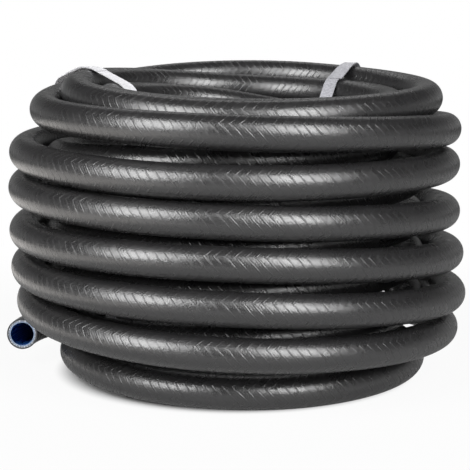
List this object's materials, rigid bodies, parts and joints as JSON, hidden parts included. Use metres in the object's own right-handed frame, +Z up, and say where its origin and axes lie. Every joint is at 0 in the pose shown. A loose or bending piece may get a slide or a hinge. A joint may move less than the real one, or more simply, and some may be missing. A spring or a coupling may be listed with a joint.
{
  "type": "garden hose coil",
  "caption": "Coil of thick-walled reinforced garden hose tied with two flat straps, with a free cut end that bends.",
  "frame": {"origin": "middle of the coil on the floor that it stands on", "axes": "+Z up along the coil's axis; -Y is the side where the outer layer is seen whole, with the free cut end at -X"},
  "size_m": [0.3744, 0.3647, 0.2434],
  "materials": {
    "cover": "satin",
    "braid": "matte",
    "liner": "gloss",
    "strap": "matte"
  },
  "bodies": {
    "coil": {"cover_coil": "cover", "braid_coil": "braid", "liner_coil": "liner"},
    "outer_end_1": {"cover_outer_end_1": "cover", "braid_outer_end_1": "braid", "liner_outer_end_1": "liner"},
    "outer_end_2": {"cover_outer_end_2": "cover", "braid_outer_end_2": "braid", "liner_outer_end_2": "liner"},
    "outer_end_3": {"cover_outer_end_3": "cover", "braid_outer_end_3": "braid", "liner_outer_end_3": "liner"},
    "inner_end_1": {"cover_inner_end_1": "cover", "braid_inner_end_1": "braid", "liner_inner_end_1": "liner"},
    "inner_end_2": {"cover_inner_end_2": "cover", "braid_inner_end_2": "braid", "liner_inner_end_2": "liner"},
    "inner_end_3": {"cover_inner_end_3": "cover", "braid_inner_end_3": "braid", "liner_inner_end_3": "liner"},
    "strap_left": {"strap_left": "strap"},
    "strap_right": {"strap_right": "strap"}
  },
  "joints": [
    {"name": "outer_end_lift", "type": "hinge", "parent": "coil", "child": "outer_end_1", "pos_m": [-0.16792, 0.04187, 0.02442], "axis": [-0.9703, 0.2419, 0], "range_deg": [-3, 8], "stiffness_Nm_per_rad": 3},
    {"name": "outer_end_bend_1", "type": "hinge", "parent": "outer_end_1", "child": "outer_end_2", "pos_m": [-0.17161, 0.02718, 0.02518], "axis": [0, 0, -1], "range_deg": [-1.5, 10], "stiffness_Nm_per_rad": 1},
    {"name": "outer_end_bend_2", "type": "hinge", "parent": "outer_end_2", "child": "outer_end_3", "pos_m": [-0.17402, 0.01217, 0.02594], "axis": [0, 0, -1], "range_deg": [-1.5, 10]},
    {"name": "inner_end_bend_1", "type": "hinge", "parent": "coil", "child": "inner_end_1", "pos_m": [-0.09058, 0.08747, 0.01415], "axis": [0, 0, -1], "range_deg": [0, 10], "stiffness_Nm_per_rad": 1},
    {"name": "inner_end_bend_2", "type": "hinge", "parent": "inner_end_1", "child": "inner_end_2", "pos_m": [-0.0767, 0.09817, 0.0138], "axis": [0, 0, -1], "range_deg": [0, 10]},
    {"name": "inner_end_bend_3", "type": "hinge", "parent": "inner_end_2", "child": "inner_end_3", "pos_m": [-0.06158, 0.10666, 0.01362], "axis": [0, 0, -1], "range_deg": [0, 10]},
    {"name": "strap_left_slide", "type": "hinge", "parent": "coil", "child": "strap_left", "pos_m": [0, 0, 0], "axis": [0, 0, 1], "range_deg": [-5, 5]},
    {"name": "strap_right_slide", "type": "hinge", "parent": "coil", "child": "strap_right", "pos_m": [0, 0, 0], "axis": [0, 0, 1], "range_deg": [-5, 5]}
  ],
  "couplings": [
    {"joint": "outer_end_bend_2", "follows": "outer_end_bend_1", "ratio": 1},
    {"joint": "inner_end_bend_2", "follows": "inner_end_bend_1", "ratio": 1},
    {"joint": "inner_end_bend_3", "follows": "inner_end_bend_1", "ratio": 1}
  ]
}
